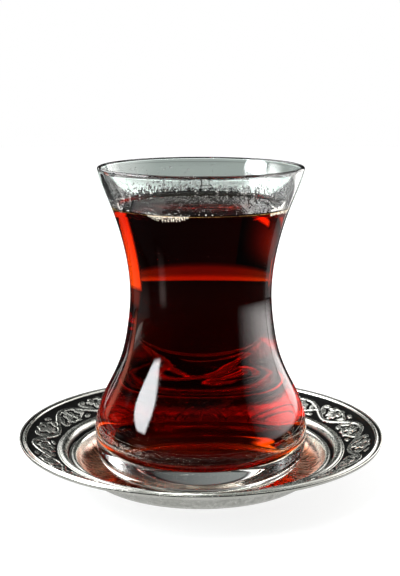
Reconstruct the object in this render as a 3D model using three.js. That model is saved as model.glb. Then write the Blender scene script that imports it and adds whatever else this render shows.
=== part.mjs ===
// A tulip-shaped glass of black tea on its saucer, in millimetres, +Z up.
// The origin is the middle of the saucer's underside, on the table.
//
// Three solids, all turned about the Z axis:
//   glass   clear pressed glass: rounded lip, flared mouth, waist, belly, thick base with a hollow underside
//   tea     the drink, from the glass's inner floor up to its level
//   saucer  thin dished metal saucer: flat well, step with two beads, sloping border, rolled rim
import * as THREE from "three";

// ---- sizes -----------------------------------------------------------------------------------
const SEGMENTS = 48; // facets round the axis

// saucer
const SAUCER_R = 52.6; // outer edge of the rim
const SAUCER_RIM_Z = 12.2; // height of the outer edge
const SAUCER_T = 1.2; // metal thickness
const WELL_FLAT_R = 29.5; // flat floor that the glass stands on
const WELL_EDGE_R = 37.2; // bead at the top of the well
const WELL_EDGE_Z = 6.1;
const RIDGE_R = 40.1; // bead between well and border
const RIDGE_Z = 8.0;
const BORDER_IN_R = 41.9; // ornamental border, from here ...
const BORDER_IN_Z = 8.3;
const BORDER_OUT_R = 49.8; // ... to here
const BORDER_OUT_Z = 11.6;
const BEAD_R = 51.0; // bead inside the rim
const BEAD_Z = 12.5;
const STEP_GROOVE = 0.7; // depth of the groove between the two beads

// glass, heights above its own foot
const STAND_GAP = 0.1; // foot above the saucer's floor
const GLASS_H = 88.2;
const LIP_R = 29.05; // outer radius at the lip
const LIP_T = 1.2; // wall at the lip
const WAIST_T = 1.9; // wall at the waist
const BELLY_T = 2.3; // wall at the belly
const HEEL_Z = 9.0; // where the belly turns in to the foot
const HEEL_R = 30.55;
const FOOT_R = 22.6; // outer radius of the standing ring
const FOOT_IN_R = 19.6; // inner radius of the standing ring
const PUSH_UP = 1.5; // hollow of the underside
const BASE_T = 6.2; // glass under the drink, at the middle
const BOWL_R = 15.0; // nearly level part of the inner floor
const BOWL_Z = 17.0; // where the wall begins to round in to the floor
const BOWL_POWER = 2.6; // fullness of that rounding
// radius and height at the stations that shape the outside, heel to lip
const OUTSIDE = [
  [HEEL_R, HEEL_Z],
  [30.75, 12.2], // belly
  [30.2, 16.6],
  [28.5, 21.6],
  [25.6, 27.4],
  [22.8, 34.2],
  [21.05, 42.4],
  [20.22, 52.0], // waist
  [20.95, 61.0],
  [22.9, 69.8],
  [25.6, 77.8],
  [28.15, 84.4],
  [LIP_R, GLASS_H - LIP_T / 2],
];
const WAIST_Z = 52.0;

// tea
const TEA_Z = 77.4; // level above the glass's foot
const TEA_GAP = 0.25; // clearance to the glass

// ---- helpers ---------------------------------------------------------------------------------
const v2 = (r, z) => new THREE.Vector2(r, z);
const lerp = THREE.MathUtils.lerp;

// Solid of revolution about Z from a profile of (radius, height), closed at the axis.
function turned(profile) {
  const points = profile.map((p) => v2(Math.max(p.x, 0), p.y));
  const geometry = new THREE.LatheGeometry(points, SEGMENTS);
  geometry.rotateX(Math.PI / 2); // the lathe's own axis is Y
  return geometry;
}

// Quarter of a superellipse from (r0, z0), where it runs along Z, to (r1, z1), where it runs along R.
function quarter(r0, z0, r1, z1, power, steps) {
  const out = [];
  for (let i = 0; i <= steps; i++) {
    const a = (i / steps) * (Math.PI / 2);
    const c = Math.pow(Math.cos(a), 2 / power);
    const s = Math.pow(Math.sin(a), 2 / power);
    out.push(v2(lerp(r1, r0, i === steps ? 0 : c), lerp(z0, z1, i === 0 ? 0 : s)));
  }
  return out;
}

// ---- glass -----------------------------------------------------------------------------------
const outside = new THREE.SplineCurve(OUTSIDE.map(([r, z]) => v2(r, z)));
const OUTSIDE_FINE = outside.getPoints(240);

// Outer radius of the glass at a height above its foot.
function outerR(z) {
  for (let i = 1; i < OUTSIDE_FINE.length; i++) {
    const a = OUTSIDE_FINE[i - 1];
    const b = OUTSIDE_FINE[i];
    if (z <= b.y) return lerp(a.x, b.x, (z - a.y) / (b.y - a.y));
  }
  return LIP_R;
}

// Wall thickness, measured level, at a height above the foot.
function wall(z) {
  if (z > WAIST_Z) {
    const k = (z - WAIST_Z) / (GLASS_H - LIP_T / 2 - WAIST_Z);
    return lerp(WAIST_T, LIP_T, k * k);
  }
  const k = (WAIST_Z - z) / (WAIST_Z - BOWL_Z);
  return lerp(WAIST_T, BELLY_T, k);
}

// Inside of the glass from the axis up to a height, moved inwards by a clearance.
function inside(top, clearance, rows) {
  const points = [v2(0, BASE_T + clearance)];
  const r0 = outerR(BOWL_Z) - wall(BOWL_Z) - clearance;
  const corner = quarter(r0, BOWL_Z, BOWL_R, BASE_T + 0.25 + clearance, BOWL_POWER, 8);
  points.push(...corner.reverse());
  for (let i = 1; i <= rows; i++) {
    const z = lerp(BOWL_Z, top, i / rows);
    points.push(v2(outerR(z) - wall(z) - clearance, z));
  }
  return points;
}

function glassProfile() {
  const points = [];
  // hollow underside, from the axis to the standing ring
  const domeSteps = 3;
  for (let i = 0; i <= domeSteps; i++) {
    const k = i / domeSteps;
    points.push(v2(FOOT_IN_R * k, PUSH_UP * (1 - k * k)));
  }
  // heel, from the standing ring out to the belly
  const heel = quarter(HEEL_R, HEEL_Z, FOOT_R, 0, 2.2, 6);
  points.push(...heel.reverse());
  // outside, up to the lip
  const rows = 17;
  const top = GLASS_H - LIP_T / 2;
  for (let i = 1; i <= rows; i++) {
    const z = lerp(HEEL_Z, top, i / rows);
    points.push(v2(outerR(z), z));
  }
  // rounded lip
  const lipSteps = 4;
  for (let i = 1; i < lipSteps; i++) {
    const a = (i / lipSteps) * Math.PI;
    points.push(v2(LIP_R - LIP_T / 2 + (LIP_T / 2) * Math.cos(a), top + (LIP_T / 2) * Math.sin(a)));
  }
  // inside, back down to the axis
  points.push(...inside(top, 0, 14).reverse());
  return points;
}

const glass = new THREE.Mesh(
  turned(glassProfile()),
  new THREE.MeshStandardMaterial({ color: 0xdfeae6, roughness: 0.03, metalness: 0, transparent: true, opacity: 0.3 }),
);
glass.name = "glass";

// ---- tea -------------------------------------------------------------------------------------
const teaPoints = inside(TEA_Z, TEA_GAP, 11);
teaPoints.push(v2(0, TEA_Z));
const tea = new THREE.Mesh(
  turned(teaPoints),
  new THREE.MeshStandardMaterial({ color: 0x5a0f06, roughness: 0.05, metalness: 0 }),
);
tea.name = "tea";

// ---- saucer ----------------------------------------------------------------------------------
function saucerProfile() {
  const floor = SAUCER_T;
  const under = [];
  const top = [];
  // underside: flat base, then up along the dish
  under.push(v2(0, 0), v2(WELL_FLAT_R, 0));
  const well = quarter(WELL_EDGE_R - 0.9, WELL_EDGE_Z, WELL_FLAT_R, floor, 2, 5).reverse(); // concave side of the well
  for (const p of well.slice(1)) under.push(v2(p.x + SAUCER_T * 0.75, p.y - SAUCER_T * 0.75));
  under.push(v2(RIDGE_R, RIDGE_Z - SAUCER_T - 0.2));
  under.push(v2(BORDER_OUT_R, BORDER_OUT_Z - SAUCER_T - 0.1));
  under.push(v2(SAUCER_R - 0.35, SAUCER_RIM_Z - 0.85));
  // rolled rim
  under.push(v2(SAUCER_R, SAUCER_RIM_Z));
  under.push(v2(SAUCER_R - 0.25, SAUCER_RIM_Z + 0.35));
  // top, from the rim back to the axis
  top.push(v2(BEAD_R + 0.85, BEAD_Z - 0.3));
  top.push(v2(BEAD_R, BEAD_Z + 0.1));
  top.push(v2(BEAD_R - 0.7, BEAD_Z - 0.45));
  top.push(v2(BORDER_OUT_R, BORDER_OUT_Z));
  top.push(v2(lerp(BORDER_OUT_R, BORDER_IN_R, 0.5), lerp(BORDER_OUT_Z, BORDER_IN_Z, 0.5) - 0.1));
  top.push(v2(BORDER_IN_R, BORDER_IN_Z));
  top.push(v2(RIDGE_R + 0.7, RIDGE_Z - 0.05));
  top.push(v2(RIDGE_R, RIDGE_Z + 0.2));
  top.push(v2(RIDGE_R - 0.7, RIDGE_Z - 0.35));
  top.push(v2((RIDGE_R + WELL_EDGE_R) / 2, (RIDGE_Z + WELL_EDGE_Z) / 2 - STEP_GROOVE + 0.2));
  top.push(v2(WELL_EDGE_R + 0.5, WELL_EDGE_Z + 0.1));
  top.push(v2(WELL_EDGE_R - 0.3, WELL_EDGE_Z + 0.25));
  for (const p of well.reverse()) top.push(p);
  top.push(v2(0, floor));
  return [...under, ...top];
}

const saucer = new THREE.Mesh(
  turned(saucerProfile()),
  new THREE.MeshStandardMaterial({ color: 0x9c9c92, roughness: 0.25, metalness: 1 }),
);
saucer.name = "saucer";

// ---- assembly --------------------------------------------------------------------------------
const drink = new THREE.Group(); // glass and tea stand in the saucer's well
drink.position.z = SAUCER_T + STAND_GAP;
drink.add(glass, tea);

const part = new THREE.Group();
part.add(saucer, drink);

export default part;
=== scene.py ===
"""A tulip-shaped glass of black tea on an antiqued silver saucer.

Everything is turned about the Z axis. Sizes below are in millimetres and become metres in the meshes.
"""

import math

import bpy
import numpy as np
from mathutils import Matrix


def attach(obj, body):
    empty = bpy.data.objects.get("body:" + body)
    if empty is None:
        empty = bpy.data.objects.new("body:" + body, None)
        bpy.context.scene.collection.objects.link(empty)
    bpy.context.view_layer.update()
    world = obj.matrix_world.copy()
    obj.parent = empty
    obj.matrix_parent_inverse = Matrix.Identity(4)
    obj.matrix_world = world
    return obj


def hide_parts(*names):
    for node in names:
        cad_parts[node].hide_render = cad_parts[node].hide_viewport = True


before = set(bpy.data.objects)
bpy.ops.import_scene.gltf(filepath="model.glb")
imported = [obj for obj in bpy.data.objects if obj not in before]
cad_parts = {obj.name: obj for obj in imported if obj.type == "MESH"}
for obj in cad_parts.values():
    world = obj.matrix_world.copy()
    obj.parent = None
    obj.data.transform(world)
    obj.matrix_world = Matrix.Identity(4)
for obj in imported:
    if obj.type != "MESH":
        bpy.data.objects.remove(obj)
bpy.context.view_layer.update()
MM = 0.001
rng = np.random.default_rng(20)

# ---- sizes ---------------------------------------------------------------------------------------
FOOT_Z = 1.3  # height of the glass's foot above the table

GLASS_H = 88.2
LIP_R, LIP_T = 29.05, 1.2
WAIST_T, BELLY_T = 1.9, 2.3
WAIST_Z = 52.0
HEEL_R, HEEL_Z = 30.55, 9.0
FOOT_R, FOOT_IN_R = 22.6, 19.6
PUSH_UP = 1.5
BASE_T = 6.2
BOWL_R, BOWL_Z, BOWL_POWER = 15.0, 17.0, 2.6
OUTSIDE = np.array([
    (HEEL_R, HEEL_Z), (30.75, 12.2), (30.2, 16.6), (28.5, 21.6), (25.6, 27.4), (22.8, 34.2), (21.05, 42.4),
    (20.22, 52.0), (20.95, 61.0), (22.9, 69.8), (25.6, 77.8), (28.15, 84.4), (LIP_R, GLASS_H - LIP_T / 2),
])

TEA_IN_WALL = 0.12  # how far the tea reaches into the wall
SURFACE_Z = 76.9  # the tea's level away from the wall
MENISCUS_H, MENISCUS_DEG = 0.8, 66.0  # rise at the wall, and its slope there

SAUCER_R, SAUCER_RIM_Z, SAUCER_T = 52.6, 12.2, 1.2
WELL_FLAT_R, WELL_EDGE_R, WELL_EDGE_Z = 29.5, 37.2, 6.1
RIDGE_R = 40.1
BORDER_IN_R, BORDER_IN_Z = 41.9, 8.3
BORDER_OUT_R, BORDER_OUT_Z = 49.8, 11.6
BEAD_R = 51.0
BAYS = 20  # bays of the scrolling vine
ROSETTE = 16  # pointed leaves engraved in the well


# ---- curves --------------------------------------------------------------------------------------
def natural_spline(x, y):
    """Natural cubic spline through (x, y), as a function."""
    n = len(x)
    h = np.diff(x)
    a = np.eye(n)
    b = np.zeros(n)
    for i in range(1, n - 1):
        a[i, i - 1:i + 2] = h[i - 1], 2 * (h[i - 1] + h[i]), h[i]
        b[i] = 6 * ((y[i + 1] - y[i]) / h[i] - (y[i] - y[i - 1]) / h[i - 1])
    m = np.linalg.solve(a, b)

    def at(q):
        q = np.asarray(q, float)
        i = np.clip(np.searchsorted(x, q) - 1, 0, n - 2)
        t0, t1 = x[i + 1] - q, q - x[i]
        return (m[i] * t0**3 + m[i + 1] * t1**3) / (6 * h[i]) + (y[i] / h[i] - m[i] * h[i] / 6) * t0 + (y[i + 1] / h[i] - m[i + 1] * h[i] / 6) * t1

    return at


outer_r = natural_spline(OUTSIDE[:, 1], OUTSIDE[:, 0])


def wall(z):
    z = np.asarray(z, float)
    up = (z - WAIST_Z) / (GLASS_H - LIP_T / 2 - WAIST_Z)
    down = (WAIST_Z - z) / (WAIST_Z - BOWL_Z)
    return np.where(z > WAIST_Z, WAIST_T + (LIP_T - WAIST_T) * up**2, WAIST_T + (BELLY_T - WAIST_T) * down)


def inner_r(z):
    return outer_r(z) - wall(z)


def quarter(r0, z0, r1, z1, power, steps):
    """Quarter superellipse from (r0, z0), along Z there, to (r1, z1), along R there."""
    a = np.linspace(0, math.pi / 2, steps + 1)
    c = np.clip(np.cos(a), 0, 1) ** (2 / power)
    s = np.sin(a) ** (2 / power)
    return np.c_[r1 + (r0 - r1) * c, z0 + (z1 - z0) * s]


def smooth(x, lo, hi):
    t = np.clip((x - lo) / (hi - lo), 0, 1)
    return t * t * (3 - 2 * t)


# ---- meshes --------------------------------------------------------------------------------------
def add_mesh(name, verts, faces, material):
    me = bpy.data.meshes.new(name)
    me.from_pydata(verts, [], faces)
    me.validate()
    me.update()
    me.polygons.foreach_set("use_smooth", np.ones(len(me.polygons), bool))
    ob = bpy.data.objects.new(name, me)
    bpy.context.scene.collection.objects.link(ob)
    me.materials.append(material)
    return ob


def ring_grid(rings, segs):
    """Faces of a closed surface of revolution: a pole, rings of segs points, and a pole.
    Vertex 0 is the first pole, then the rings in order, and the last vertex is the second pole."""
    faces = []
    j = np.arange(segs)
    jn = (j + 1) % segs
    first = np.c_[np.zeros(segs, int), 1 + jn, 1 + j]
    faces += first.tolist()
    for k in range(rings - 1):
        a = 1 + k * segs
        b = a + segs
        faces += np.c_[a + j, a + jn, b + jn, b + j].tolist()
    last = 1 + (rings - 1) * segs
    pole = 1 + rings * segs
    faces += np.c_[last + j, last + jn, np.full(segs, pole)].tolist()
    return faces


def lathe(name, profile, segs, material, lift=0.0):
    """profile: (r, z) in mm from the axis, out and round, back to the axis."""
    p = np.asarray(profile, float)
    ang = np.linspace(0, 2 * math.pi, segs, endpoint=False)
    mid = p[1:-1]
    x = mid[:, :1] * np.cos(ang)
    y = mid[:, :1] * np.sin(ang)
    z = np.repeat(mid[:, 1:], segs, 1)
    v = np.stack([x, y, z], -1).reshape(-1, 3)
    v = np.vstack([[0, 0, p[0, 1]], v, [0, 0, p[-1, 1]]])
    v[:, 2] += lift
    return add_mesh(name, (v * MM).tolist(), ring_grid(len(mid), segs), material)


# ---- materials -----------------------------------------------------------------------------------
def new_material(name):
    m = bpy.data.materials.new(name)
    m.use_nodes = True
    nt = m.node_tree
    return m, nt, nt.nodes["Principled BSDF"]


def noise(nt, scale, detail=3.0, rough=0.5, stretch=(1, 1, 1)):
    tc = nt.nodes.new("ShaderNodeTexCoord")
    mp = nt.nodes.new("ShaderNodeMapping")
    mp.inputs["Scale"].default_value = stretch
    n = nt.nodes.new("ShaderNodeTexNoise")
    n.inputs["Scale"].default_value = scale
    n.inputs["Detail"].default_value = detail
    n.inputs["Roughness"].default_value = rough
    nt.links.new(tc.outputs["Object"], mp.inputs["Vector"])
    nt.links.new(mp.outputs["Vector"], n.inputs["Vector"])
    return n.outputs["Fac"]


def remap(nt, value, lo, hi, to_lo, to_hi):
    r = nt.nodes.new("ShaderNodeMapRange")
    r.inputs["From Min"].default_value = lo
    r.inputs["From Max"].default_value = hi
    r.inputs["To Min"].default_value = to_lo
    r.inputs["To Max"].default_value = to_hi
    nt.links.new(value, r.inputs["Value"])
    return r.outputs["Result"]


def bump(nt, height, strength, distance, bsdf):
    b = nt.nodes.new("ShaderNodeBump")
    b.inputs["Strength"].default_value = strength
    b.inputs["Distance"].default_value = distance
    nt.links.new(height, b.inputs["Height"])
    nt.links.new(b.outputs["Normal"], bsdf.inputs["Normal"])


def mix_colour(nt, fac, a, b):
    m = nt.nodes.new("ShaderNodeMix")
    m.data_type = "RGBA"
    m.inputs["A"].default_value = (*a, 1)
    m.inputs["B"].default_value = (*b, 1)
    nt.links.new(fac, m.inputs["Factor"])
    return m.outputs["Result"]


def absorb(nt, per_mm):
    """Plain absorption, in parts per millimetre for red, green and blue."""
    s = np.array(per_mm) * 1000.0
    d = float(s.max() * 1.02)
    v = nt.nodes.new("ShaderNodeVolumeAbsorption")
    v.inputs["Color"].default_value = (*(1 - s / d), 1)
    v.inputs["Density"].default_value = d
    nt.links.new(v.outputs["Volume"], nt.nodes["Material Output"].inputs["Volume"])


def clear_glass(name="clear_glass", shine=(1, 1, 1)):
    m, nt, b = new_material(name)
    b.inputs["Specular Tint"].default_value = (*shine, 1)
    b.inputs["Transmission Weight"].default_value = 1.0
    b.inputs["IOR"].default_value = 1.5
    b.inputs["Roughness"].default_value = 0.0
    tint = noise(nt, 60.0, 2.0)
    nt.links.new(mix_colour(nt, tint, (0.975, 0.99, 0.985), (0.99, 0.998, 0.995)), b.inputs["Base Color"])
    # faint waviness of pressed glass
    bump(nt, noise(nt, 55.0, 1.0, 0.3, (1, 1, 0.35)), 0.05, 0.0006, b)
    return m


def tea_liquid():
    """Clear brown-red liquid. The mesh carries its shine: full on the free surface, hardly any against the glass."""
    m, nt, b = new_material("tea_liquid")
    at = nt.nodes.new("ShaderNodeAttribute")
    at.attribute_name = "shine"
    nt.links.new(at.outputs["Fac"], b.inputs["Specular Tint"])
    b.inputs["Transmission Weight"].default_value = 1.0
    b.inputs["IOR"].default_value = 1.333
    b.inputs["Roughness"].default_value = 0.0
    haze = noise(nt, 140.0, 3.0)
    nt.links.new(mix_colour(nt, haze, (1.0, 0.97, 0.93), (1.0, 1.0, 1.0)), b.inputs["Base Color"])
    absorb(nt, TEA_ABSORB)
    return m


def water():
    m, nt, b = new_material("condensed_water")
    b.inputs["Transmission Weight"].default_value = 1.0
    b.inputs["IOR"].default_value = 1.333
    b.inputs["Roughness"].default_value = 0.0
    tint = noise(nt, 900.0, 1.0)
    nt.links.new(mix_colour(nt, tint, (0.96, 0.98, 0.97), (1.0, 1.0, 1.0)), b.inputs["Base Color"])
    return m


def foam_with_painted_glow(name="tea_foam_painted_glow", glow=0.55, hue=(1.0, 0.97, 0.93)):
    m, nt, b = new_material(name)
    b.inputs["Transmission Weight"].default_value = 0.1
    b.inputs["IOR"].default_value = 1.2
    b.inputs["Roughness"].default_value = 0.15
    tint = noise(nt, 700.0, 2.0)
    nt.links.new(mix_colour(nt, tint, tuple(0.9 * c for c in hue), hue), b.inputs["Base Color"])
    # painted glow: the foam gives off light of its own, in its own hue, standing in for the light it scatters
    b.inputs["Emission Color"].default_value = (*hue, 1)
    b.inputs["Emission Strength"].default_value = glow
    return m


def antiqued_silver():
    """Polished silver on the high points, black oxide in the recesses, and a painted reflection of the red tea over
    the well: the mesh carries how deep each point lies and how strongly the tea's reflection is painted there."""
    m, nt, b = new_material("antiqued_silver")
    at = nt.nodes.new("ShaderNodeAttribute")
    at.attribute_name = "patina"
    dirt = noise(nt, 900.0, 4.0, 0.65)
    add = nt.nodes.new("ShaderNodeMath")
    add.operation = "MULTIPLY_ADD"
    nt.links.new(dirt, add.inputs[0])
    add.inputs[1].default_value = 0.5
    nt.links.new(at.outputs["Fac"], add.inputs[2])
    dark = remap(nt, add.outputs[0], 0.5, 1.05, 0.0, 1.0)
    tone = noise(nt, 130.0, 3.0, 0.6)
    bright = mix_colour(nt, tone, (0.44, 0.45, 0.40), (0.70, 0.70, 0.66))
    # painted reflection of the red tea, dark red to orange
    painted_tea_red = mix_colour(nt, tone, (0.28, 0.07, 0.02), (0.70, 0.22, 0.07))
    painted_red_amount = nt.nodes.new("ShaderNodeAttribute")
    painted_red_amount.attribute_name = "painted_tea_reflection"
    toned = nt.nodes.new("ShaderNodeMix")
    toned.data_type = "RGBA"
    nt.links.new(painted_red_amount.outputs["Fac"], toned.inputs["Factor"])
    nt.links.new(bright, toned.inputs["A"])
    nt.links.new(painted_tea_red, toned.inputs["B"])
    silver = toned.outputs["Result"]
    mix = nt.nodes.new("ShaderNodeMix")
    mix.data_type = "RGBA"
    nt.links.new(dark, mix.inputs["Factor"])
    nt.links.new(silver, mix.inputs["A"])
    mix.inputs["B"].default_value = (0.002, 0.0022, 0.002, 1)
    nt.links.new(mix.outputs["Result"], b.inputs["Base Color"])
    nt.links.new(remap(nt, dark, 0, 1, 1.0, 0.0), b.inputs["Metallic"])
    b.inputs["Specular IOR Level"].default_value = 0.08
    grain = noise(nt, 420.0, 4.0, 0.6)
    base_rough = remap(nt, grain, 0.3, 0.75, 0.16, 0.34)
    ma = nt.nodes.new("ShaderNodeMath")
    ma.operation = "MULTIPLY_ADD"
    nt.links.new(dark, ma.inputs[0])
    ma.inputs[1].default_value = 0.5
    nt.links.new(base_rough, ma.inputs[2])
    nt.links.new(ma.outputs[0], b.inputs["Roughness"])
    bump(nt, noise(nt, 1500.0, 3.0, 0.6), 0.12, 0.0001, b)
    return m


TEA_ABSORB = (0.03, 0.147, 0.38)

# ---- glass ---------------------------------------------------------------------------------------
def glass_profile():
    k = np.linspace(0, 1, 12)
    dome = np.c_[FOOT_IN_R * k, PUSH_UP * (1 - k * k)]
    heel = quarter(HEEL_R, HEEL_Z, FOOT_R, 0, 2.2, 18)[::-1]
    top = GLASS_H - LIP_T / 2
    z = np.linspace(HEEL_Z, top, 90)[1:]
    outside = np.c_[outer_r(z), z]
    a = np.linspace(0, math.pi, 12)[1:-1]
    lip = np.c_[LIP_R - LIP_T / 2 + LIP_T / 2 * np.cos(a), top + LIP_T / 2 * np.sin(a)]
    return np.vstack([dome, heel, outside, lip, inside_profile(top, 0.0, 80)[::-1]])


def inside_profile(top, out, rows):
    """Inside of the glass from the axis up, moved outwards by out."""
    r0 = float(inner_r(BOWL_Z)) + out
    corner = quarter(r0, BOWL_Z, BOWL_R, BASE_T + 0.25 - out, BOWL_POWER, 24)[::-1]
    z = np.linspace(BOWL_Z, top, rows)[1:]
    floor = np.array([(0, BASE_T - out), (BOWL_R * 0.5, BASE_T + 0.06 - out)])
    return np.vstack([floor, corner, np.c_[inner_r(z) + out, z]])


glass_points = glass_profile()
glass = lathe("glass_body", glass_points, 192, clear_glass(), FOOT_Z)
# faces between profile points that both lie on the inside, below the tea's edge
inner_from = len(glass_points) - len(inside_profile(GLASS_H - LIP_T / 2, 0.0, 80))
inside_faces = np.arange(len(glass.data.polygons)) // 192 >= inner_from
# where tea wets the inside, hardly any light is thrown back
glass.data.materials.append(clear_glass("wetted_glass", (0.06, 0.06, 0.06)))
for poly in glass.data.polygons:
    x, y, z = poly.center / MM
    z -= FOOT_Z
    if BASE_T - 0.5 < z < SURFACE_Z + MENISCUS_H and math.hypot(x, y) < float(outer_r(max(z, HEEL_Z))) - 1.0 and inside_faces[poly.index]:
        poly.material_index = 1
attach(glass, "root")
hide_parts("glass")


# ---- tea -----------------------------------------------------------------------------------------
def tea_profile():
    side = inside_profile(SURFACE_Z + MENISCUS_H, TEA_IN_WALL, 70)
    r_wall = side[-1, 0]
    steep = math.radians(MENISCUS_DEG)
    bend = MENISCUS_H / (1 - math.cos(steep))
    a = np.linspace(steep, 0, 20)[1:]
    edge = np.c_[r_wall - bend * (math.sin(steep) - np.sin(a)), SURFACE_Z + bend * (1 - np.cos(a))]
    r = np.linspace(edge[-1, 0], 0, 12)[1:-1]
    return np.vstack([side, edge, np.c_[r, np.full_like(r, SURFACE_Z)], [(0, SURFACE_Z)]])


tea = lathe("tea_liquid", tea_profile(), 192, tea_liquid(), FOOT_Z)
surface_from = len(inside_profile(SURFACE_Z + MENISCUS_H, TEA_IN_WALL, 70)) - 1
at_wall = np.arange(len(tea.data.polygons)) // 192 < surface_from
tea.data.attributes.new("shine", "FLOAT", "FACE").data.foreach_set("value", np.where(at_wall, 0.06, 1.0).astype(np.float32))
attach(tea, "root")
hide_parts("tea")


# ---- drops and bubbles ---------------------------------------------------------------------------
def on_wall(deg, z):
    """Point on the inside of the glass, and the directions inwards, around and along the wall there.
    deg runs from the viewer's side (0) to the right (90), z is above the foot."""
    t = np.radians(deg) - math.pi / 2
    r = inner_r(z)
    lean = (inner_r(z + 0.1) - inner_r(z - 0.1)) / 0.2
    k = 1 / np.sqrt(1 + lean**2)
    c, s, o = np.cos(t), np.sin(t), np.zeros_like(t)
    point = np.stack([r * c, r * s, z], -1)
    inward = np.stack([-c * k, -s * k, lean * k], -1)
    around = np.stack([-s, c, o], -1)
    along = np.cross(inward, around)
    return point, inward, around, along


def drops(deg, z, size, tall, segs, rings):
    """Flattened drops on the inside of the glass. Gives points and faces."""
    point, inward, around, along = on_wall(deg, z)
    n = len(deg)
    a = np.linspace(0, 2 * math.pi, segs, endpoint=False)
    up = np.linspace(0, math.pi / 2, rings + 1)[1:]
    rad = np.concatenate([[0], np.repeat(np.sin(up), segs), [0]])
    hgt = np.concatenate([[1], np.repeat(np.cos(up), segs), [0]])
    ca = np.concatenate([[0], np.tile(np.cos(a), rings), [0]])
    sa = np.concatenate([[0], np.tile(np.sin(a), rings), [0]])
    stretch = rng.uniform(0.85, 1.35, n)
    turn = rng.uniform(0, 2 * math.pi, n)
    wob = 1 + 0.12 * np.cos(2 * (np.arctan2(sa, ca)[None] + turn[:, None]))
    u = size[:, None] * wob * rad * ca
    v = size[:, None] * wob * rad * sa * stretch[:, None]
    w = size[:, None] * tall[:, None] * hgt - 0.035
    pts = point[:, None] + u[..., None] * around[:, None] + v[..., None] * along[:, None] + w[..., None] * inward[:, None]
    one = drop_faces(rings, segs)
    m = pts.shape[1]
    faces = []
    for i in range(n):
        faces += [tuple(q + i * m for q in f) for f in one]
    return pts.reshape(-1, 3), faces


def drop_faces(rings, segs):
    out = []
    for j in range(segs):
        k = (j + 1) % segs
        out.append((0, 1 + j, 1 + k))
        for i in range(rings - 1):
            a = 1 + i * segs
            out.append((a + j, a + segs + j, a + segs + k, a + k))
        last = 1 + (rings - 1) * segs
        out.append((last + k, last + j, 1 + rings * segs))
    return out


def joined(name, sets, material):
    pts, faces, base = [], [], 0
    for p, f in sets:
        pts.append(p)
        faces += [tuple(q + base for q in g) for g in f]
        base += len(p)
    v = np.vstack(pts)
    v[:, 2] += FOOT_Z
    return add_mesh(name, (v * MM).tolist(), faces, material)


def condensation():
    edge = SURFACE_Z + MENISCUS_H
    sets = []
    # beads close above the tea, thickest at the back, a few strays in front
    n = 640
    deg = np.concatenate([180 + np.clip(rng.normal(0, 50, n - 24), -112, 112), rng.uniform(-60, 60, 24)])
    z = edge + rng.exponential(0.8, n)
    size = np.clip(rng.lognormal(math.log(0.26), 0.35, n), 0.12, 0.6)
    sets.append(drops(deg, z, size, rng.uniform(0.4, 0.62, n), 9, 3))
    # smaller ones higher up
    n = 1300
    deg = np.concatenate([180 + np.clip(rng.normal(0, 55, n - 60), -115, 115), rng.uniform(-60, 60, 60)])
    z = edge + 0.2 + rng.exponential(1.5, n)
    keep = z < 86.4
    deg, z = deg[keep], z[keep]
    size = np.clip(rng.lognormal(math.log(0.12), 0.35, len(z)), 0.06, 0.26)
    sets.append(drops(deg, z, size, rng.uniform(0.35, 0.6, len(z)), 7, 2))
    # mist to the left, nearly up to the lip
    n = 800
    deg = rng.normal(-105, 24, n)
    z = edge + 0.3 + rng.uniform(0, 7.8, n)
    size = np.clip(rng.lognormal(math.log(0.09), 0.3, n), 0.05, 0.18)
    sets.append(drops(deg, z, size, rng.uniform(0.35, 0.6, n), 6, 2))
    return joined("condensation", sets, water())


def bubbles(centres, size):
    """Small round bubbles, as points and faces."""
    segs, rings = 8, 5
    a = np.linspace(0, 2 * math.pi, segs, endpoint=False)
    e = np.linspace(0, math.pi, rings + 2)[1:-1]
    ball = np.vstack([[0, 0, 1]] + [np.c_[math.sin(t) * np.cos(a), math.sin(t) * np.sin(a), np.full(segs, math.cos(t))] for t in e] + [[0, 0, -1]])
    pts = centres[:, None] + size[:, None, None] * ball[None]
    one = drop_faces(rings, segs)
    faces = []
    for i in range(len(centres)):
        faces += [tuple(q + i * len(ball) for q in f) for f in one]
    return pts.reshape(-1, 3), faces


def wall_bubbles(deg, z, size, depth):
    point, inward, _, _ = on_wall(deg, z)
    return bubbles(point + inward * (size * 0.75 + depth)[:, None], size)


def foam_rim():
    sets = []
    # a white fringe at the front left, glowing with the foam's painted light, its lower edge ragged
    n = 430
    deg = rng.uniform(-36, -7, n)
    mid = np.sin(np.radians((deg + 36) / 29 * 180)) ** 0.5
    comb = (0.5 + 0.5 * np.sin(deg * 4.6 + 1.5 * np.sin(deg * 1.3))) ** 1.5
    z = SURFACE_Z + 0.55 - rng.random(n) * mid * (0.4 + 1.6 * comb)
    sets.append(wall_bubbles(deg, z, rng.uniform(0.08, 0.17, n), 0.2 * rng.random(n) ** 2))
    # a heap at the right, some at the left, and strays all round
    n = 200
    deg = np.clip(rng.normal(65, 7, n), 51, 86)
    z = SURFACE_Z + 0.5 + rng.normal(0, 0.45, n)
    sets.append(wall_bubbles(deg, z, rng.uniform(0.13, 0.32, n), 0.4 * rng.random(n) ** 2))
    n = 40
    deg = rng.normal(-72, 8, n)
    z = SURFACE_Z + 0.6 + rng.normal(0, 0.3, n)
    sets.append(wall_bubbles(deg, z, rng.uniform(0.1, 0.22, n), 0.3 * rng.random(n) ** 2))
    n = 70
    deg = rng.uniform(-180, 180, n)
    z = SURFACE_Z + 0.5 + rng.normal(0, 0.25, n)
    sets.append(wall_bubbles(deg, z, rng.uniform(0.09, 0.22, n), 0.5 * rng.random(n)))
    return joined("foam_rim", sets, foam_with_painted_glow())


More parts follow.
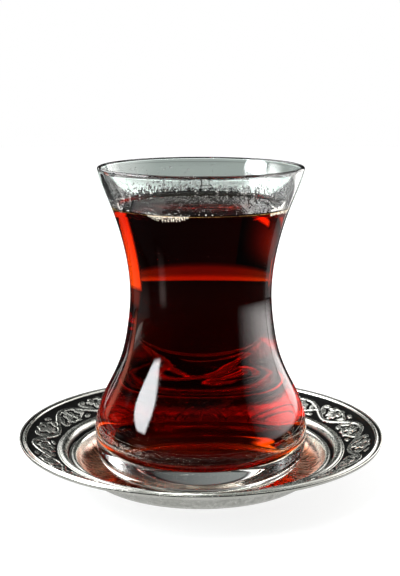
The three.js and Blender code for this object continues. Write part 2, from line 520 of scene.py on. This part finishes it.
def painted_golden_line():
    """A thin painted golden line along the near edge of the tea, made of the finest bubbles: their golden colour and
    glow stand in for light shining through the thin tea at the meniscus.
    """
    n = 640
    deg = rng.uniform(-86, 86, n)
    z = SURFACE_Z + 0.28 + rng.normal(0, 0.03, n) + 0.05 * np.sin(deg * 0.09)
    size = rng.uniform(0.05, 0.085, n) * (0.8 + 0.2 * np.sin(deg * 0.21))
    # painted light: golden colour and a glow of 0.24 on the bubbles
    return joined("painted_golden_line", [wall_bubbles(deg, z, size, 0.04 * rng.random(n))], foam_with_painted_glow("painted_golden_glow", 0.24, (0.95, 0.62, 0.18)))


def floor_bubbles():
    """Fine bubbles where the wall rounds in to the floor, front left."""
    corner = inside_profile(GLASS_H - LIP_T, -0.12, 80)[2:26]
    n = 44
    pick = np.clip(rng.normal(15, 2.2, n), 8, 21)
    r = np.interp(pick, np.arange(len(corner)), corner[:, 0])
    z = np.interp(pick, np.arange(len(corner)), corner[:, 1])
    t = np.radians(np.clip(rng.normal(-50, 6, n), -66, -34)) - math.pi / 2
    c = np.c_[r * np.cos(t), r * np.sin(t), z]
    # the bubbles glow faintly with painted light
    return joined("floor_bubbles", [bubbles(c, rng.uniform(0.07, 0.14, n))], foam_with_painted_glow("fine_bubbles_painted_glow", 0.04))


for piece in (condensation(), foam_rim(), painted_golden_line(), floor_bubbles()):
    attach(piece, "root")


# ---- saucer --------------------------------------------------------------------------------------
def soft_bump(x):
    return np.clip(1 - x * x, 0, None) ** 1.5


def gauss(x):
    return np.exp(-x * x)


def saucer_top(r):
    """Height of the plain turned upper side."""
    base = np.interp(r, [WELL_EDGE_R, RIDGE_R, BORDER_IN_R, BORDER_OUT_R, BEAD_R, SAUCER_R], [6.0, 7.75, 8.15, 11.45, 12.0, 12.25])
    base = base + 0.55 * soft_bump((r - RIDGE_R) / 1.45) - 0.85 * gauss((r - 38.35) / 0.55) + 0.35 * soft_bump((r - WELL_EDGE_R) / 0.75)
    base = base + 0.6 * soft_bump((r - BEAD_R) / 0.5) - 0.3 * gauss((r - 51.85) / 0.25)
    k = np.clip((r - WELL_FLAT_R) / (WELL_EDGE_R - 0.9 - WELL_FLAT_R), 0, 1)
    well = SAUCER_T + (WELL_EDGE_Z - SAUCER_T) * (1 - np.sqrt(np.clip(1 - k * k, 0, 1)))
    return np.where(r < WELL_EDGE_R - 0.9, well, base)


def stroke(d, half, soft=0.16):
    return 1 - smooth(np.abs(d), half - soft, half + soft)


def vine_relief(r, th):
    """Relief of the border, 0 in the ground to 1 on the high points."""
    half_band = (BORDER_OUT_R - BORDER_IN_R) / 2 - 0.15
    mid_r = (BORDER_OUT_R + BORDER_IN_R) / 2
    bay_len = 2 * math.pi * mid_r / BAYS
    s = (th / (2 * math.pi) * BAYS) % BAYS
    k = np.floor(s).astype(int) % BAYS
    sign = np.where(k % 2 == 0, 1.0, -1.0)
    x = (s - np.floor(s) - 0.5) * bay_len
    y = (r - mid_r) * sign
    lim = half_band
    hand = np.random.default_rng(5)
    jit = hand.normal(0, 1, (BAYS, 24))
    j = jit[k]
    h = np.zeros_like(x)

    # the vine: one arch a bay, to alternate sides
    amp = 2.65
    yv = amp * np.sin(math.pi * (x / bay_len + 0.5))
    slope = amp * math.pi / bay_len * np.cos(math.pi * (x / bay_len + 0.5))
    d = (y - yv) / np.sqrt(1 + slope**2)
    vine = stroke(d, 0.52) * (1 - 0.35 * stroke(d, 0.1, 0.08))
    h = np.maximum(h, vine)

    # a stem leaves the vine, runs along the edge and curls back under the palmette
    ys = -2.7 * np.sin(0.5 * math.pi * (x + bay_len / 2) / (bay_len / 2))
    sl = -2.7 * 0.5 * math.pi / (bay_len / 2) * np.cos(0.5 * math.pi * (x + bay_len / 2) / (bay_len / 2))
    d = (y - ys) / np.sqrt(1 + sl**2)
    h = np.maximum(h, np.where((x < 4.0), stroke(d, 0.3), 0) * 0.9)

    # palmette: five lobes from a point on the stem
    bx, by = 0.1, -1.95
    for i in range(-2, 3):
        a = math.radians(36 * i) + 0.05 * j[..., i + 2]
        ln = (3.75 - 0.42 * abs(i)) * (1 + 0.05 * j[..., i + 7])
        wd = 0.86 if i else 0.92
        ux, uy = np.sin(a), np.cos(a)
        px, py = x - bx, y - by
        p = px * ux + py * uy - (ln / 2 + 0.45)
        q = px * uy - py * ux
        taper = 1 - 0.25 * np.clip(p / (ln / 2), -1, 1)
        e = np.sqrt((p / (ln / 2)) ** 2 + (q / (wd * (2 - taper))) ** 2)
        lobe = 1 - smooth(e, 0.72, 1.05)
        vein = stroke(q, 0.12, 0.12) * (1 - smooth(np.abs(p), ln * 0.3, ln * 0.45))
        h = np.maximum(h, lobe * (0.95 - 0.55 * vein))
    # two small scrolls at its foot
    for sx in (-1.55, 1.75):
        rr = np.hypot(x - sx, y + 2.55)
        h = np.maximum(h, 0.85 * stroke(rr - 0.62, 0.24))
    # leaves in the corners of the bay
    for cx, cy, deg, ln, wd in ((-4.7, -0.35, 38, 2.0, 0.82), (4.75, -0.2, -38, 2.0, 0.82), (5.6, -2.35, 12, 1.9, 0.78), (-3.9, 0.95, 62, 1.3, 0.5), (3.9, 1.0, -62, 1.3, 0.5), (6.4, -1.1, -70, 1.1, 0.48), (-5.9, -2.75, -14, 1.7, 0.68)):
        a = math.radians(deg)
        p = (x - cx) * math.cos(a) + (y - cy) * math.sin(a)
        q = -(x - cx) * math.sin(a) + (y - cy) * math.cos(a)
        e = np.sqrt((p / ln) ** 2 + (q / wd) ** 2)
        leaf = 1 - smooth(e, 0.68, 1.08)
        h = np.maximum(h, leaf * (0.82 - 0.4 * stroke(q, 0.1, 0.1)))
    # keep clear of the plain edges
    edge = 1 - smooth(np.abs(y), lim - 0.25, lim + 0.1)
    return h * edge


def rosette_lines(r, th):
    """Engraved lines in the well: pointed leaves with a midrib, 0 plain to 1 on a line."""
    r0, r1 = 20.0, 35.4
    t = np.clip((r - r0) / (r1 - r0), 0, 1)
    cell = 2 * math.pi / ROSETTE
    out = np.zeros_like(r)
    for shift, tip, inset in ((0.0, 1.0, 1.0), (0.0, 0.9, 0.72), (0.5, 0.86, 0.55)):
        a = ((th / cell + shift + 0.5) % 1 - 0.5) * cell
        tt = np.clip(t / tip, 0, 1)
        half = 0.5 * cell * inset * np.sqrt(np.clip(1 - tt**1.7, 0, 1))
        d = (np.abs(a) - half) * r
        out = np.maximum(out, np.where(t < tip, stroke(d, 0.16, 0.14), 0))
    a = ((th / cell + 0.5) % 1 - 0.5) * cell
    out = np.maximum(out, np.where(t < 0.93, 0.7 * stroke(a * r, 0.1, 0.12), 0))
    return out * (r > 14)


def make_saucer():
    segs = 900
    r_top = np.concatenate([
        [6.0, 12.0, 17.0, 21.0, 24.0, 26.0],
        np.linspace(27.5, 36.2, 25),
        np.linspace(36.55, 41.75, 20),
        np.linspace(BORDER_IN_R, BORDER_OUT_R, 31),
        np.linspace(50.05, 52.1, 10),
    ])
    th = np.linspace(0, 2 * math.pi, segs, endpoint=False)
    rr, tt = np.meshgrid(r_top, th, indexing="ij")
    z = saucer_top(rr)
    relief = np.zeros_like(rr)
    in_band = (rr >= BORDER_IN_R - 0.01) & (rr <= BORDER_OUT_R + 0.01)
    relief[in_band] = vine_relief(rr[in_band], tt[in_band])
    lines = np.where(rr < WELL_EDGE_R - 1, rosette_lines(rr, tt), 0)
    # slight unevenness of hand work
    wob = 0.03 * np.sin(5 * tt + 0.7) + 0.02 * np.sin(11 * tt + rr * 0.4)
    z = z + np.where(in_band, 0.5 * relief - 0.2, 0) - 0.14 * lines + np.where(rr > 37, wob, 0)
    # oxide: in the ground of the border, the grooves and the engraved lines
    pat = np.zeros_like(rr)
    pat = np.where(in_band, 1.0 - smooth(relief, 0.25, 0.72), pat)
    for c, w in ((38.35, 0.7), (51.95, 0.42)):
        pat = np.maximum(pat, 1.15 * gauss((rr - c) / w))
    pat = np.maximum(pat, np.where((rr > BORDER_OUT_R - 0.05) & (rr < 50.55), 1.0, 0))
    pat = np.maximum(pat, 0.95 * lines)

    # rim and underside
    under = np.array([
        (SAUCER_R - 0.22, SAUCER_RIM_Z + 0.33), (SAUCER_R - 0.03, SAUCER_RIM_Z + 0.12), (SAUCER_R - 0.02, SAUCER_RIM_Z - 0.2), (SAUCER_R - 0.3, SAUCER_RIM_Z - 0.8),
        (51.2, 10.95), (BORDER_OUT_R, BORDER_OUT_Z - SAUCER_T - 0.1), (45.0, 8.5), (RIDGE_R, 6.6), (38.0, 5.75), (36.9, 4.9), (35.4, 2.6), (33.0, 0.95), (31.0, 0.25), (WELL_FLAT_R, 0.0), (20.0, 0.0),
    ])
    ru, zu = under[:, 0], under[:, 1]
    all_r = np.vstack([rr, np.repeat(ru[:, None], segs, 1)])
    all_z = np.vstack([z, np.repeat(zu[:, None], segs, 1)])
    all_t = np.repeat(th[None], len(all_r), 0)
    v = np.stack([all_r * np.cos(all_t), all_r * np.sin(all_t), all_z], -1).reshape(-1, 3)
    v = np.vstack([[0, 0, SAUCER_T], v, [0, 0, 0]]) * MM
    faces = [f[::-1] for f in ring_grid(len(all_r), segs)]
    pu = np.repeat(np.where(ru > 52, 0.15, 0.35)[:, None], segs, 1)
    patina = np.concatenate([[0.0], np.vstack([pat, pu]).ravel(), [0.3]])
    ob = add_mesh("saucer_dish", v.tolist(), faces, antiqued_silver())
    at = ob.data.attributes.new("patina", "FLOAT", "POINT")
    at.data.foreach_set("value", patina.astype(np.float32))
    # painted reflection of the red tea: strong over the well, fading out towards its rim
    painted_tea_red = np.vstack([0.92 * (1 - smooth(rr, 33.5, 36.8)), np.zeros_like(pu)])
    at = ob.data.attributes.new("painted_tea_reflection", "FLOAT", "POINT")
    at.data.foreach_set("value", np.concatenate([[0.92], painted_tea_red.ravel(), [0.0]]).astype(np.float32))
    return ob


saucer = make_saucer()
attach(saucer, "root")
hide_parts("saucer")


# ---- floor, light and camera ---------------------------------------------------------------------
def make_floor():
    """Pale floor with a painted shadow: where the viewer sees it, its glow is darker close round the saucer. To the
    glass and the metal, all but the floor close beneath is dim.
    """
    m = bpy.data.materials.new("studio_floor")
    m.use_nodes = True
    nt = m.node_tree
    nt.nodes.clear()
    out = nt.nodes.new("ShaderNodeOutputMaterial")
    lp = nt.nodes.new("ShaderNodeLightPath")
    tc = nt.nodes.new("ShaderNodeTexCoord")
    ln = nt.nodes.new("ShaderNodeVectorMath")
    ln.operation = "LENGTH"
    nt.links.new(tc.outputs["Object"], ln.inputs[0])
    em = nt.nodes.new("ShaderNodeEmission")
    em.inputs["Color"].default_value = (1, 1, 1, 1)
    # painted shadow: the glow the viewer sees drops from 1.0 far out to 0.8 close round the saucer
    nt.links.new(remap(nt, ln.outputs["Value"], 0.045, 0.16, 0.80, 1.0), em.inputs["Strength"])
    df = nt.nodes.new("ShaderNodeBsdfDiffuse")
    df.inputs["Color"].default_value = (0.3, 0.3, 0.3, 1)
    seen = nt.nodes.new("ShaderNodeAddShader")
    nt.links.new(em.outputs[0], seen.inputs[0])
    nt.links.new(df.outputs[0], seen.inputs[1])
    dim = nt.nodes.new("ShaderNodeBsdfDiffuse")
    dim.inputs["Color"].default_value = (0.012, 0.012, 0.012, 1)
    near = nt.nodes.new("ShaderNodeEmission")
    nt.links.new(remap(nt, lp.outputs["Ray Length"], 0.02, 0.045, 0.75, 0.0), near.inputs["Strength"])
    other = nt.nodes.new("ShaderNodeAddShader")
    nt.links.new(dim.outputs[0], other.inputs[0])
    nt.links.new(near.outputs[0], other.inputs[1])
    mix = nt.nodes.new("ShaderNodeMixShader")
    nt.links.new(lp.outputs["Is Camera Ray"], mix.inputs[0])
    nt.links.new(other.outputs[0], mix.inputs[1])
    nt.links.new(seen.outputs[0], mix.inputs[2])
    nt.links.new(mix.outputs[0], out.inputs["Surface"])
    n = 96
    a = np.linspace(0, 2 * math.pi, n, endpoint=False)
    v = [(0, 0, 0)] + [(1.2 * math.cos(t), 1.2 * math.sin(t), 0) for t in a]
    f = [(0, 1 + i, 1 + (i + 1) % n) for i in range(n)]
    ob = add_mesh("studio_floor", v, f, m)
    ob.location.z = -0.0002


def glow_material():
    m = bpy.data.materials.new("soft_light")
    m.use_nodes = True
    nt = m.node_tree
    nt.nodes.clear()
    out = nt.nodes.new("ShaderNodeOutputMaterial")
    em = nt.nodes.new("ShaderNodeEmission")
    at = nt.nodes.new("ShaderNodeAttribute")
    at.attribute_name = "glow"
    nt.links.new(at.outputs["Color"], em.inputs["Color"])
    nt.links.new(em.outputs[0], out.inputs["Surface"])
    return m


GLOW = glow_material()


def light_grid(name, points, strength, colour):
    """A soft light on a grid of points, with its strength at each; the viewer doesn't see it."""
    nu, nv = strength.shape
    faces = []
    for i in range(nu - 1):
        for j in range(nv - 1):
            a = i * nv + j
            faces.append((a, a + 1, a + nv + 1, a + nv))
    ob = add_mesh(name, points.reshape(-1, 3).tolist(), faces, GLOW)
    at = ob.data.attributes.new("glow", "FLOAT_COLOR", "POINT")
    col = np.ones((nu * nv, 4), np.float32)
    col[:, :3] = strength.reshape(-1, 1) * np.array(colour)
    at.data.foreach_set("color", col.ravel())
    ob.visible_camera = False
    ob.visible_shadow = False
    return ob


def card(name, az, el, dist, radiance, soft=(3, 3), colour=(1, 1, 1), shape=None, mid_z=0.056, n=(40, 28)):
    """Upright soft box bent round the glass: az from lo to hi (0 away from the viewer, 90 to the right), el from lo to hi,
    in degrees seen from the middle of the glass."""
    a = np.linspace(az[0], az[1], n[0])
    e = np.linspace(el[0], el[1], n[1])
    aa, ee = np.meshgrid(a, e, indexing="ij")
    z = mid_z + dist * np.tan(np.radians(ee))
    pts = np.stack([dist * np.sin(np.radians(aa)), dist * np.cos(np.radians(aa)), np.maximum(z, 0.0006)], -1)
    k = smooth(aa, az[0], az[0] + soft[0]) * (1 - smooth(aa, az[1] - soft[0], az[1])) * smooth(ee, el[0], el[0] + soft[1]) * (1 - smooth(ee, el[1] - soft[1], el[1]))
    if shape is not None:
        k = k * shape(aa, ee)
    return light_grid(name, pts, radiance * k, colour)


def floor_patch(name, az, rad, radiance_of_r, colour=(1, 1, 1), az_soft=6.0, n=(48, 40)):
    """Lit part of the table, between two azimuths and two distances from the glass."""
    a = np.linspace(az[0], az[1], n[0])
    r = np.linspace(rad[0], rad[1], n[1])
    aa, rr = np.meshgrid(a, r, indexing="ij")
    pts = np.stack([rr * np.sin(np.radians(aa)), rr * np.cos(np.radians(aa)), np.full_like(rr, 0.0004)], -1)
    k = smooth(aa, az[0], az[0] + az_soft) * (1 - smooth(aa, az[1] - az_soft, az[1]))
    return light_grid(name, pts, k * radiance_of_r(rr), colour)


def ramp_node(nt, value, stops):
    ramp = nt.nodes.new("ShaderNodeValToRGB")
    cr = ramp.color_ramp
    while len(cr.elements) < len(stops):
        cr.elements.new(0.5)
    for e, (p, c) in zip(cr.elements, stops):
        e.position = p
        e.color = (c * 0.94, c, c * 0.97, 1)
    nt.links.new(value, ramp.inputs["Fac"])
    return ramp.outputs["Color"]


def make_world():
    """White to the viewer. To the glass and the metal: dim in front, brighter behind and overhead."""
    w = bpy.data.worlds.new("studio")
    bpy.context.scene.world = w
    w.use_nodes = True
    nt = w.node_tree
    nt.nodes.clear()
    out = nt.nodes.new("ShaderNodeOutputWorld")
    tc = nt.nodes.new("ShaderNodeTexCoord")
    sx = nt.nodes.new("ShaderNodeSeparateXYZ")
    nt.links.new(tc.outputs["Generated"], sx.inputs[0])
    back = ramp_node(nt, sx.outputs["Z"], [(0.0, 0.02), (0.27, 0.02), (0.33, 0.32), (0.42, 0.3), (0.48, 0.02), (0.75, 0.03), (1.0, 0.4)])
    front = ramp_node(nt, sx.outputs["Z"], [(0.0, 0.004), (0.55, 0.006), (0.75, 0.1), (0.9, 0.5), (1.0, 0.65)])
    side = nt.nodes.new("ShaderNodeMath")
    side.operation = "MULTIPLY"
    nt.links.new(remap(nt, sx.outputs["Y"], -0.2, 0.4, 0.0, 1.0), side.inputs[0])
    nt.links.new(remap(nt, sx.outputs["X"], -0.25, 0.3, 1.0, 0.2), side.inputs[1])
    both = nt.nodes.new("ShaderNodeMix")
    both.data_type = "RGBA"
    nt.links.new(side.outputs[0], both.inputs["Factor"])
    nt.links.new(front, both.inputs["A"])
    nt.links.new(back, both.inputs["B"])
    dim = nt.nodes.new("ShaderNodeBackground")
    nt.links.new(both.outputs["Result"], dim.inputs["Color"])
    white = nt.nodes.new("ShaderNodeBackground")
    white.inputs["Color"].default_value = (1, 1, 1, 1)
    lp = nt.nodes.new("ShaderNodeLightPath")
    mix = nt.nodes.new("ShaderNodeMixShader")
    nt.links.new(lp.outputs["Is Camera Ray"], mix.inputs[0])
    nt.links.new(dim.outputs[0], mix.inputs[1])
    nt.links.new(white.outputs[0], mix.inputs[2])
    nt.links.new(mix.outputs[0], out.inputs["Surface"])


make_floor()
make_world()
# broad soft box to the right, fading towards the viewer and upwards, with a stronger part further back
card("right_softbox", (56, 124), (-12, 36), 0.26, 3.2, (3, 3), (1.0, 0.975, 0.96),
     lambda a, e: np.interp(a, [56, 85, 98, 110, 116, 124], [1.0, 1.0, 0.62, 0.32, 0.14, 0.0]) * (1 - 0.5 * smooth(e, 8, 30)))
card("right_back_softbox", (27, 60), (-12, 26), 0.26, 3.5, (3, 3), (1.0, 0.975, 0.96))
# narrow bright soft box to the left, its near edge slanting
card("left_softbox", (-121, -84), (3, 34), 0.42, 17.0, (3, 3), (0.95, 0.98, 1.0),
     lambda a, e: 1 - smooth(a, -113 + 1.1 * (e - 3), -109 + 1.1 * (e - 3)))
# thin upright lights, left and behind
card("left_back_line", (-64, -50), (-11, 9), 0.3, 1.9, (5, 4), (1.0, 0.3, 0.2))
card("left_back_line_2", (-46, -42), (-11, 5), 0.3, 2.0, (1.5, 3))
# left and behind, higher up
card("left_back_softbox", (-110, -16), (16, 60), 0.5, 4.5, (8, 5), shape=lambda a, e: np.interp(a, [-110, -72, -50, -16], [2.1, 1.9, 0.85, 0.75]))
card("left_back_lamp", (-28, -16), (10, 13), 0.5, 4.5, (4, 1.2))
card("left_back_glow", (-64, -12), (-2.9, 16), 1.15, 0.42, (26, 9))
# right, higher up
card("right_high_softbox", (44, 118), (37, 59), 0.3, 1.6, (8, 4))
# key light, high in front and to the left
card("key_light", (-176, -130), (67, 77), 0.25, 24.0, (6, 3))
# behind and overhead
card("top_softbox", (-40, 40), (47, 66), 0.16, 1.2, (8, 3), shape=lambda a, e: np.interp(a, [-40, 2, 14, 40], [0.8, 0.8, 2.6, 2.6]), n=(60, 24))
# far part of the table
floor_patch("far_table", (-80, 80), (0.44, 1.18), lambda r: np.interp(r, [0.44, 0.46, 0.50, 0.56, 0.62, 0.72, 0.80, 0.90, 1.0, 1.18], [0.0, 1.4, 1.4, 0.62, 0.38, 0.4, 0.4, 0.19, 0.08, 0.02]), (0.88, 1.0, 0.94), n=(48, 60))
floor_patch("left_table", (-98, -40), (0.15, 0.44), lambda r: np.interp(r, [0.15, 0.25, 0.44], [0.0, 0.15, 0.15]), (0.95, 1.0, 0.97), 12.0)
# table in front of the right-hand soft box
floor_patch("right_table", (28, 60), (0.13, 0.26), lambda r: np.interp(r, [0.13, 0.16, 0.24, 0.26], [0.0, 0.3, 0.3, 0.3]), (1.0, 0.975, 0.96), 5.0)
# streak of light on the table, left and in front
floor_patch("near_streak", (-128, -110), (0.12, 0.32), lambda r: np.interp(r, [0.12, 0.18, 0.22, 0.32], [0.0, 0.9, 0.9, 0.0]), (1.0, 0.8, 0.75), 8.0)

cam = bpy.data.cameras.new("camera")
cam.sensor_fit = "AUTO"
cam.sensor_width = 36.0
cam.lens = 1154.8 * 36.0 / 576.0
cam.clip_start = 0.01
cam_ob = bpy.data.objects.new("camera", cam)
bpy.context.scene.collection.objects.link(cam_ob)
cam_ob.location = (-0.00025, -0.32358, 0.0895 + 0.030915)
cam_ob.rotation_euler = (math.radians(90 - 11.505), 0, 0)
scene = bpy.context.scene
scene.camera = cam_ob

scene.view_settings.view_transform = "Standard"
scene.view_settings.look = "None"
scene.cycles.max_bounces = 24
scene.cycles.transmission_bounces = 24
scene.cycles.glossy_bounces = 12
scene.cycles.diffuse_bounces = 3
scene.cycles.transparent_max_bounces = 12
scene.cycles.blur_glossy = 0.2
scene.cycles.sample_clamp_indirect = 12.0
scene.cycles.use_denoising = True
